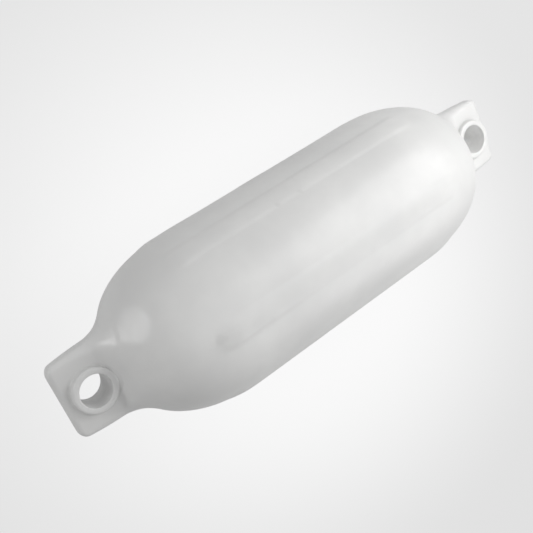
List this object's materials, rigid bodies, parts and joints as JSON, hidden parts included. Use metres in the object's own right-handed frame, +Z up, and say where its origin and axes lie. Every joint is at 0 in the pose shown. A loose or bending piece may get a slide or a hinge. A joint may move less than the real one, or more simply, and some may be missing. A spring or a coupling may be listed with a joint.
{
  "type": "boat fender",
  "caption": "Long air-filled vinyl dock fender with domed ends, low lengthwise strips and a flat rope-eye tab at each end.",
  "frame": {"origin": "centre of the bounding box's base, under the middle of the fender as it lies on one strip", "axes": "+X along the fender's axis, +Z up through both rope holes, +Y across the tabs"},
  "size_m": [0.56, 0.1704, 0.1726],
  "materials": {
    "white_vinyl": "semi-gloss white vinyl, slightly mottled and lightly scuffed"
  },
  "bodies": {
    "root": {"fender_body": "white_vinyl"}
  },
  "joints": []
}
